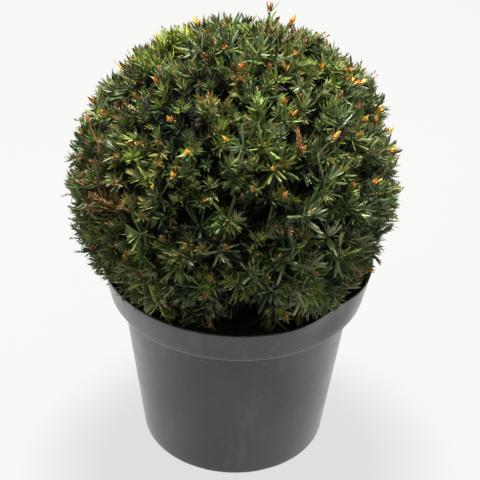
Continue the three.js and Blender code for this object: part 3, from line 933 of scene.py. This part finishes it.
def grow_bare_twigs(lobes):
    for twig in BARE_TWIGS:
        foot_out, foot = on_surface(*twig["foot"])
        out, tip = on_surface(*twig["tip"])
        middle = lerp(foot, tip, 0.5) + lerp(foot_out, out, 0.5) * BARE_TWIG_ARCH
        shoot = Shoot(twig["kind"], foot, middle, tip, unit(tip - middle), out)
        nearest_lobe(lobes, out).shoots.append(shoot)


def in_patch(out, place):
    return out.dot(place["middle"]) > place["edge"]


def outer_shoots(lobes):
    return [shoot for lobe in lobes for shoot in lobe.shoots if shoot.kind in OUTER_KINDS]


def sink_hollows(lobes):
    """Draws the outer shoots in a hollow back into the dark, and gives them the dark deep spray as
    painted shade.
    """
    for hollow in HOLLOWS:
        for shoot in outer_shoots(lobes):
            if in_patch(shoot.out, hollow):
                shoot.tip = shoot.tip - shoot.out * hollow["depth"]
                shoot.bend = shoot.bend - shoot.out * hollow["depth"]
                # Painted shade: the sunk shoots take the dark deep spray
                shoot.spray = "deep"
                shoot.bud = None


def painted_light_and_shade_at(out):
    """How far lighter sprays are favoured in a direction: painted light on top, painted shade on the
    flanks.
    """
    top = PAINTED_LIGHT_AND_SHADE["top"] * smoothstep(out[2], 0.45, 0.9)
    flanks = PAINTED_LIGHT_AND_SHADE["flanks"] * smoothstep(abs(out[0]), 0.6, 0.95)
    return top + flanks


def deal_sprays(lobes):
    """Gives each shoot its colour, size, style and bud, by drifts, by chance and by the tints."""
    random = np.random.default_rng(SEEDS["sprays"])
    for lobe in lobes:
        for shoot in lobe.shoots:
            shoot.spray = deal_colour(shoot.out, random)
            shoot.size = lerp(*SHOOT_SIZE, random.random())
            if shoot.kind in OUTER_KINDS:
                shoot.style = deal_style(shoot, random)
            tints = (t for t in TINTS if in_patch(shoot.out, t) and random.random() < t["share"])
            tint = next(tints, None)
            if tint:
                shoot.spray = tint["spray"]
                shoot.size *= tint.get("size", 1)
                if shoot.kind in OUTER_KINDS:
                    shoot.style = tint.get("style", "brush")
            shoot.bud = deal_bud(shoot, random)


def deal_colour(out, random):
    edges = np.cumsum(list(SPRAY_SHARES.values()))
    drift = DRIFT["middle"] + DRIFT["height"] * noise.noise(Vector(out * DRIFT["waves"]))
    place = (DRIFT["weight"] * drift + random.random()) % edges[-1]
    # Painted light and shade: the dealing leans to lighter sprays on top and darker ones on the flanks
    place = edges[-1] * (place / edges[-1]) ** (1 - painted_light_and_shade_at(out))
    return list(SPRAY_SHARES)[int(np.searchsorted(edges, place))]


def deal_style(shoot, random):
    """Most shoots are brushes."""
    low_right = smoothstep(0.5 * shoot.out[0] - shoot.out[2], -0.6, 0.5)
    chance = random.random()
    if chance < STARS["least"] + STARS["more"] * low_right:
        return "star"
    return "tight" if chance > TIGHT_FROM else "brush"


def deal_bud(shoot, random):
    """The colour of a shoot's bud cluster, or None."""
    if shoot.kind == "leader":
        return "orange"
    if shoot.kind == "bare":
        return "russet"
    if shoot.kind in BUDLESS_KINDS:
        return None
    x, _, z = shoot.out
    bright = BUD_CHANCES["bright"] + BUD_CHANCES["top"] * smoothstep(z, 0.2, 0.9)
    bright += BUD_CHANCES["right"] * smoothstep(x, 0, 0.7)
    dull = BUD_CHANCES["dull"] + BUD_CHANCES["left"] * smoothstep(-x, 0.2, 0.8)
    chance = random.random()
    if chance < bright:
        return "orange" if random.random() < ORANGE_SHARE else "amber"
    if chance < bright + dull:
        return "russet" if random.random() < RUSSET_SHARE else "tan"
    return None


def place_buds(lobes):
    """The buds that show in the photo, each on the outer shoot whose tip is nearest."""
    outer = outer_shoots(lobes)
    for bud, spots in BUD_PLACES.items():
        for azimuth, elevation in spots:
            places = [on_surface(azimuth, elevation)[1]]
            out, opposite = on_surface(azimuth + 180, elevation)
            if elevation < BUDS_ON_BACK["elevation"] and out[1] >= BUDS_ON_BACK["behind"]:
                places.append(opposite)
            for place in places:
                nearest = min(outer, key=lambda shoot: np.linalg.norm(shoot.tip - place))
                nearest.bud = bud


# Needles, twigs and buds, built for all shoots of a mass at once


def along_twigs(shoots, owner, t):
    """Points and directions at shares t along the twigs of the owning shoots."""
    root = np.array([shoot.root for shoot in shoots])[owner]
    bend = np.array([shoot.bend for shoot in shoots])[owner]
    tip = np.array([shoot.tip for shoot in shoots])[owner]
    t = t[:, None]
    point = (1 - t) ** 2 * root + 2 * t * (1 - t) * bend + t**2 * tip
    ahead = unit(2 * (1 - t) * (bend - root) + 2 * t * (tip - bend))
    return point, ahead


def blades(outline, base, axis, turn, spread, length, width, ridge, bend=0, sway=0, twist=0, lift=0):
    """Each blade's vertices: foot, then left edge, midrib and right edge at each station, and tip.

    turn to width and bend to twist take one number for all blades, or one for each.
    """
    form = (turn, spread, length, width, bend, sway, twist)
    turn, spread, length, width, bend, sway, twist = (
        np.broadcast_to(value, len(base))[:, None] for value in form
    )
    side = perpendicular(axis)
    aside = np.cos(turn) * side + np.sin(turn) * np.cross(axis, side)
    ahead = np.cos(spread) * axis + np.sin(spread) * aside
    face = np.sin(spread) * axis - np.cos(spread) * aside
    across = np.cross(ahead, face)
    face, across = (
        np.cos(twist) * face + np.sin(twist) * across,
        np.cos(twist) * across - np.sin(twist) * face,
    )
    curve = length * (face * bend + across * sway + UP * lift)

    def rib(share):
        return base + ahead * length * share + curve * share**2

    vertices = [base]
    for share, breadth in outline:
        middle = rib(share)
        half = across * width * breadth / 2
        vertices += [middle - half, middle + face * width * ridge, middle + half]
    vertices.append(rib(1))
    return np.stack(vertices, axis=1)


def blade_faces(stations):
    """Triangles of one blade's upper side, folded along the midrib, and of its flat underside."""
    upper = [[0, 3, 2], [0, 2, 1]]
    under = [[0, 1, 3]]
    for k in range(stations - 1):
        left, rib, right = 1 + 3 * k, 2 + 3 * k, 3 + 3 * k
        upper += [[rib, right, right + 3], [rib, right + 3, rib + 3]]
        upper += [[left, rib, rib + 3], [left, rib + 3, left + 3]]
        under += [[left, left + 3, right + 3], [left, right + 3, right]]
    tip = 1 + 3 * stations
    upper += [[tip - 2, tip - 1, tip], [tip - 3, tip - 2, tip]]
    under += [[tip - 3, tip, tip - 1]]
    return upper, under


def blade_mesh(name, vertices, slots, materials):
    """A joined mesh of blades. slots gives each one's materials: upper side, then underside."""
    corners = vertices.shape[1]
    upper, under = blade_faces((corners - 2) // 3)
    faces = repeated(upper + under, corners, len(vertices))
    face_slots = np.repeat(slots, [len(upper), len(under)], axis=1)
    flat = vertices.reshape(-1, 3) + CROWN_CENTRE
    return make_mesh(name, flat, faces, materials, face_slots.ravel(), smooth=False)


def clears_pot(vertices):
    """True for each blade whose tip stays off the pot and the growing medium."""
    tips = vertices[:, -1] + CROWN_CENTRE
    radius = np.linalg.norm(tips[:, :2], axis=1) + dent_at(tips)
    over_pot = tips[:, 2] > POT_HEIGHT + POT_CLEARANCE["above"]
    inside_pot = radius < BAND_FOOT_RADIUS - POT_CLEARANCE["aside"]
    return (over_pot | inside_pot) & (tips[:, 2] > MEDIUM_LEVEL + POT_CLEARANCE["above"])


def stays_inside(vertices):
    """True for each blade that hardly passes the clipped surface."""
    beyond = np.linalg.norm(vertices[:, -1] / CROWN_RADII, axis=1)
    return beyond < 1 + NEEDLE_OVERSHOOT / CROWN_RADII[0]


def needle_colours(shoots, owner, share, depth, random):
    """Each needle's place in SPRAYS: its shoot's colour, an older and darker one (age and painted shade),
    a withered one, or the dark shade colour deep inside (painted shade).
    """
    names = list(SPRAYS)
    colour = np.array([names.index(shoot.spray) for shoot in shoots])[owner]
    older_and_shaded = np.array([names.index(OLDER_AND_SHADED.get(name, name)) for name in names])
    total = len(owner)
    # Needles further down the twig take a darker colour: their age, and painted shade
    colour = np.where(share > lerp(*AGED_AND_SHADED_FROM, random.random(total)), older_and_shaded[colour], colour)
    colour = np.where(random.random(total) < WITHERED_SHARE, names.index("brown"), colour)
    # Painted shade: needles deep under the clipped surface take the shade spray
    return np.where(depth > lerp(*SHADED_DEPTH, random.random(total)), names.index("shade"), colour)


def needle_slots(colour):
    return np.stack([2 * colour, 2 * colour + 1], axis=1)


def make_needles(lobe, style, materials, random):
    """All needles of a mass whose shoots have one style."""
    form = STYLES[style]
    count = form["needles"]
    shoots = [shoot for shoot in lobe.shoots if shoot.style == style]
    owner = np.repeat(np.arange(len(shoots)), count)
    number = np.tile(np.arange(count), len(shoots))
    share = number / count
    total = len(owner)
    size = np.array([shoot.size for shoot in shoots])[owner]

    back = form["run"] * size * share
    lengths = [np.linalg.norm(s.tip - s.bend) + np.linalg.norm(s.bend - s.root) for s in shoots]
    base, axis = along_twigs(shoots, owner, np.clip(1 - back / np.array(lengths)[owner], 0.05, 1))
    axis = unit(axis + np.array([s.ahead for s in shoots])[owner])

    grown = smoothstep(back, 0, GROWN_FROM * form["run"])
    turn = number * GOLDEN_ANGLE + SHOOT_TURN * owner + STRAY["turn"] * random.standard_normal(total)
    spread = np.radians(lerp(*form["spread"], grown) + STRAY["spread"] * random.standard_normal(total))
    length = lerp(*form["length"], grown) * size * lerp(*STRAY["length"], random.random(total))
    width = form["width"] * length * lerp(*STRAY["width"], random.random(total))
    bend = lerp(*form["bend"], random.random(total))
    sway = STRAY["sway"] * random.standard_normal(total)
    twist = STRAY["twist"] * random.standard_normal(total)
    vertices = blades(form["outline"], base, axis, turn, spread, length, width, NEEDLE_RIDGE, bend,
                      sway, twist, NEEDLE_LIFT)

    depth = CROWN_RADII[0] * (1 - np.linalg.norm(vertices[:, 2] / CROWN_RADII, axis=1))
    slots = needle_slots(needle_colours(shoots, owner, share, depth, random))
    kept = clears_pot(vertices) & stays_inside(vertices)
    return blade_mesh(f"needles_{style}_{lobe.name}", vertices[kept], slots[kept], materials)


def bud_scales(shoot, form, random):
    """The blades of one bud cluster, and each one's place from 0, innermost, to 1, outermost."""
    count = form["scales"]
    order = np.arange(count) / (count - 1)
    base = shoot.tip + shoot.ahead * lerp(BUD_RISE, 0.0, order)[:, None]
    axis = np.repeat(unit(shoot.ahead + UP * BUD_LIFT)[None], count, axis=0)
    turn = np.arange(count) * GOLDEN_ANGLE + TURN * random.random()
    spread = np.radians(lerp(*form["spread"], order) + BUD_STRAY * random.standard_normal(count))
    length = lerp(*form["length"], random.random(count))
    width = form["width"] * length
    return blades(LENS, base, axis, turn, spread, length, width, BUD_RIDGE, BUD_BEND), order


def make_buds(lobe, materials, random):
    names = list(BUD_COLOURS)
    vertices, slots = [], []
    for shoot in lobe.shoots:
        plain = shoot.bud is None and random.random() < BUDLESS_SHARE
        if plain or shoot.kind in BUDLESS_KINDS:
            continue
        form = BUDS[BUD_FORMS.get(shoot.bud, "small")]
        scales, order = bud_scales(shoot, form, random)
        inner, outer = BUD_PAIRS[shoot.bud or "russet"]
        colour = np.where(order < INNER_SCALES, names.index(inner), names.index(outer))
        kept = clears_pot(scales)
        vertices.append(scales[kept])
        slots.append(np.stack([colour, colour], axis=1)[kept])
    return blade_mesh(f"buds_{lobe.name}", np.concatenate(vertices), np.concatenate(slots), materials)


def make_twigs(lobe, materials):
    """Tapering four-sided twigs, brown with a green tip. Bare ones are reddish brown."""
    rings, sides = TWIG_RINGS, 4
    shoots = lobe.shoots
    owner = np.repeat(np.arange(len(shoots)), rings)
    share = np.tile(np.linspace(0, 1, rings), len(shoots))
    point, ahead = along_twigs(shoots, owner, share)
    side = perpendicular(ahead)
    across = np.cross(ahead, side)
    foot, tip = (np.array([TWIG_RADII[shoot.kind][k] for shoot in shoots])[owner] for k in (0, 1))
    radius = lerp(foot, tip, share)[:, None]
    corners = []
    for k in range(sides):
        turn = k * TURN / sides
        corners.append(point + radius * (math.cos(turn) * side + math.sin(turn) * across))
    vertices = np.stack(corners, axis=1).reshape(-1, 3) + CROWN_CENTRE
    last = (rings - 1) * sides
    caps = [[3, 2, 1, 0], [last, last + 1, last + 2, last + 3]]
    tube = np.concatenate([ring_quads(rings, sides), caps])
    slots = [0] * (rings - 2) * sides + [1] * sides + [0, 1]
    bare = np.repeat([shoot.style == "bare" for shoot in shoots], len(tube))
    slots = np.where(bare, 2, np.tile(slots, len(shoots)))
    faces = repeated(tube, rings * sides, len(shoots))
    return make_mesh(f"twigs_{lobe.name}", vertices, faces, materials, slots)


def leader_needles(lobe, materials, random):
    shoot = next(shoot for shoot in lobe.shoots if shoot.kind == "leader")
    form = LEADER_NEEDLES
    count = form["count"]
    base, axis = along_twigs([shoot], np.zeros(count, int), np.linspace(1, form["lowest"], count))
    turn = np.arange(count) * GOLDEN_ANGLE
    spread = np.radians(np.linspace(*form["spread"], count))
    length = lerp(*form["length"], random.random(count))
    width = STYLES["star"]["width"] * length
    bend = form["bend"]
    vertices = blades(BLUNT, base, axis, turn, spread, length, width, NEEDLE_RIDGE, bend, bend, bend)
    slots = needle_slots(np.full(count, list(SPRAYS).index("mid")))
    return blade_mesh("needles_leader", vertices, slots, materials)


def stub_scales(lobe, materials):
    """Old bud scales that overlap all the way up the cut stub."""
    stub = next(shoot for shoot in lobe.shoots if shoot.kind == "stub")
    count = STUB_SCALES["count"]
    number = np.arange(count)
    share = number / count
    base, axis = along_twigs([stub], np.zeros(count, int), share)
    spread = np.radians(lerp(*STUB_SCALES["spread"], share))
    length = STUB_SCALES["length"]
    width = STUB_SCALES["width"] * length
    scales = blades(LENS, base, axis, number * GOLDEN_ANGLE, spread, length, width, BUD_RIDGE)
    names = list(BUD_COLOURS)
    colour = np.where(number % 5 == 4, names.index("tan"), names.index("russet"))
    return blade_mesh("stub_scales", scales, np.stack([colour, colour], axis=1), materials)


def make_foliage(bark):
    lobes = make_lobes()
    grow_main_shoots(lobes)
    grow_finer_shoots(lobes, "surface")
    grow_finer_shoots(lobes, "inner")
    grow_leader(lobes[0])
    grow_bare_twigs(lobes)
    deal_sprays(lobes)
    place_buds(lobes)
    sink_hollows(lobes)
    grow_finer_shoots(lobes, "heart")
    needles, buds = needle_materials(), bud_materials()
    twigs = [bark, new_material("twig_green", (0.09, 0.10, 0.035), 0.6),
             new_material("twig_bare", (0.12, 0.048, 0.018), 0.8, Specular_IOR_Level=0.15)]
    random = np.random.default_rng(SEEDS["needles"])
    for lobe in lobes:
        pieces = [make_needles(lobe, style, needles, random) for style in STYLES]
        pieces += [make_twigs(lobe, twigs), make_buds(lobe, buds, random)]
        if not lobe.ring:
            pieces.append(leader_needles(lobe, needles, random))
        if any(shoot.kind == "stub" for shoot in lobe.shoots):
            pieces.append(stub_scales(lobe, buds))
        for piece in pieces:
            dress(piece, lobe.name)
    return lobes


# Stage, light and camera


def dress(piece, node):
    """A finished piece rides on the one body and hides the solid node it stands for."""
    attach(piece, BODY)
    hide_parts(node)


def make_floor():
    reach = STAGE_REACH
    corners = [[-reach, -reach, 0], [reach, -reach, 0], [reach, reach, 0], [-reach, reach, 0]]
    material = new_material("white_floor", (0.06, 0.06, 0.06), 0.9, Emission_Color=(1, 0.995, 0.985, 1),
                            Emission_Strength=0.72)
    clouds = add_noise(material, 1.5, detail=2)
    vary_colour(material, clouds, 0.3, 0.7, (0.05, 0.05, 0.05), (0.06, 0.06, 0.06))
    floor = make_mesh("floor", corners, [[0, 1, 2, 3]], [material], smooth=False)


def add_softbox(name, at, size, power):
    light = bpy.data.lights.new(name, "AREA")
    light.shape = "SQUARE"
    light.size = size * MM
    light.energy = power
    lamp = put_in_scene(bpy.data.objects.new(name, light))
    lamp.location = Vector(at) * MM
    lamp.rotation_euler = (Vector(CROWN_CENTRE) - Vector(at)).to_track_quat("-Z", "Y").to_euler()
    lamp.visible_camera = False


def light_studio():
    world = bpy.data.worlds.new("studio")
    world.use_nodes = True
    place = add_node(world, "TexCoord").outputs["Generated"]
    z = add_node(world, "SeparateXYZ", Vector=place).outputs["Z"]
    spread = add_node(world, "MapRange", Value=z, To_Min=SKY["horizon"], To_Max=SKY["zenith"])
    background = world.node_tree.nodes["Background"].inputs
    background["Color"].default_value = (*SKY["colour"], 1)
    world.node_tree.links.new(spread.outputs["Result"], background["Strength"])
    bpy.context.scene.world = world
    for box in SOFTBOXES:
        add_softbox(**box)
    bpy.context.scene.view_settings.view_transform = "Standard"


def place_camera():
    camera = bpy.data.cameras.new("photo_camera")
    camera.sensor_width = 36
    camera.lens = CAMERA["lens"]
    camera.clip_end = 50
    eye = put_in_scene(bpy.data.objects.new("photo_camera", camera))
    at, aim = Vector(CAMERA["at"]) * MM, Vector(CAMERA["aim"]) * MM
    aimed = (aim - at).to_track_quat("-Z", "Y").to_matrix().to_4x4()
    eye.matrix_world = Matrix.Translation(at) @ (aimed @ Matrix.Rotation(CAMERA["roll"], 4, "Z"))
    bpy.context.scene.camera = eye


bark = bark_material("bark", (0.045, 0.022, 0.013), (0.15, 0.075, 0.042))
dress(make_pot(), "pot")
dress(make_medium(), "growing_medium")
dress(make_crumbs(), "growing_medium")
dress(make_trunk(bark), "trunk")
for lobe in make_foliage(bark):
    if lobe.ring:
        dress(make_bough(lobe, bark), f"bough_{lobe.place}")

make_floor()
light_studio()
place_camera()
